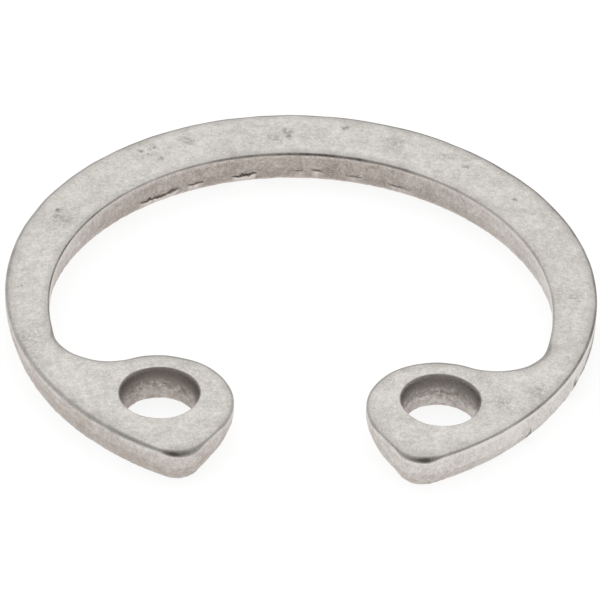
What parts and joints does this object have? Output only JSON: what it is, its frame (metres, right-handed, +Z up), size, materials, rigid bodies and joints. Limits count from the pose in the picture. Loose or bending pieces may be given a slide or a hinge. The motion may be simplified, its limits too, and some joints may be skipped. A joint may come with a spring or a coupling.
{
  "type": "internal retaining ring",
  "caption": "Flat open ring of stamped spring steel with a pierced plier lug at each end, which springs outward into a groove inside a bore to hold a part there.",
  "frame": {"origin": "on the axis of the round rim, at the bottom face that the ring lies on", "axes": "+Z up along the rim's axis towards the rolled edge, -Y through the middle of the gap, +X to the right lug seen from the gap"},
  "size_m": [0.0164, 0.0156, 0.001],
  "materials": {
    "tumbled_steel": "satin, tumbled, with torn lower edges"
  },
  "bodies": {
    "root": {"retaining_ring": "tumbled_steel"}
  },
  "joints": []
}
